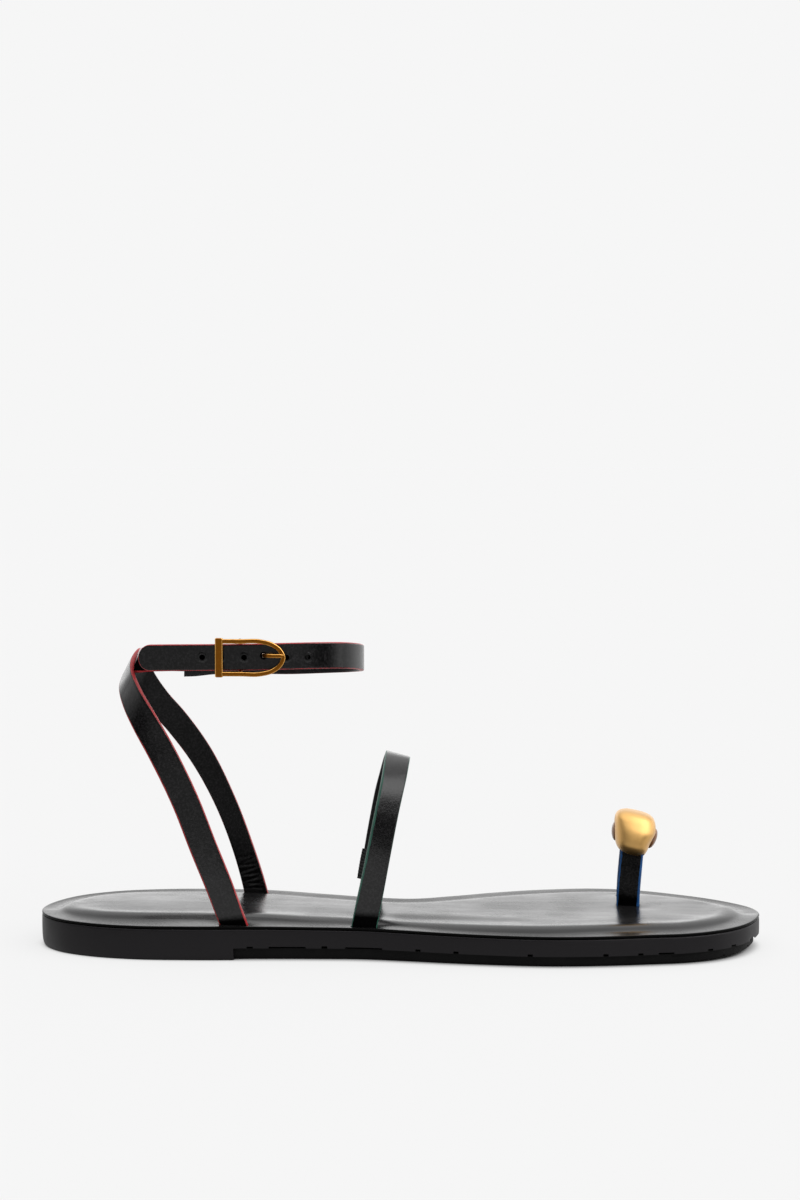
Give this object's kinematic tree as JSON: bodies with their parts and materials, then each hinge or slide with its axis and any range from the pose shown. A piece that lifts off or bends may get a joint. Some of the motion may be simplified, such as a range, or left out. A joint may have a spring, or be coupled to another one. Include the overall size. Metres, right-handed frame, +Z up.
{
  "type": "flat leather sandal",
  "caption": "Flat leather sandal with a padded footbed, heel sling, buckled ankle strap, instep band and a toe loop that carries a gold nugget.",
  "frame": {"origin": "centre of the bounding box in plan, on the floor under the sole", "axes": "+X from heel to toe, +Y to the inner side of the foot, +Z up"},
  "size_m": [0.2528, 0.0875, 0.1102],
  "materials": {
    "tread_rubber": "matte",
    "sole_wall": "satin",
    "footbed_leather": "satin",
    "strap_leather_red_edge": "satin black, red painted edges",
    "strap_leather_green_edge": "satin black, green painted edges",
    "strap_leather_blue_edge": "satin black, blue painted edges",
    "nugget_gold": "satin",
    "nugget_inlay": "gloss",
    "buckle_brass": "antique",
    "elastic": "matte ribbed"
  },
  "bodies": {
    "root": {"outsole": "tread_rubber", "midsole": "sole_wall", "footbed": "footbed_leather", "ankle_upper": "strap_leather_red_edge", "instep_strap": "strap_leather_green_edge", "toe_loop": "strap_leather_blue_edge", "toe_nugget": "nugget_gold", "nugget_inlay_front": "nugget_inlay", "nugget_inlay_rear": "nugget_inlay", "buckle_frame": "buckle_brass", "buckle_prong": "buckle_brass", "buckle_gore": "elastic", "instep_gore": "elastic"}
  },
  "joints": []
}
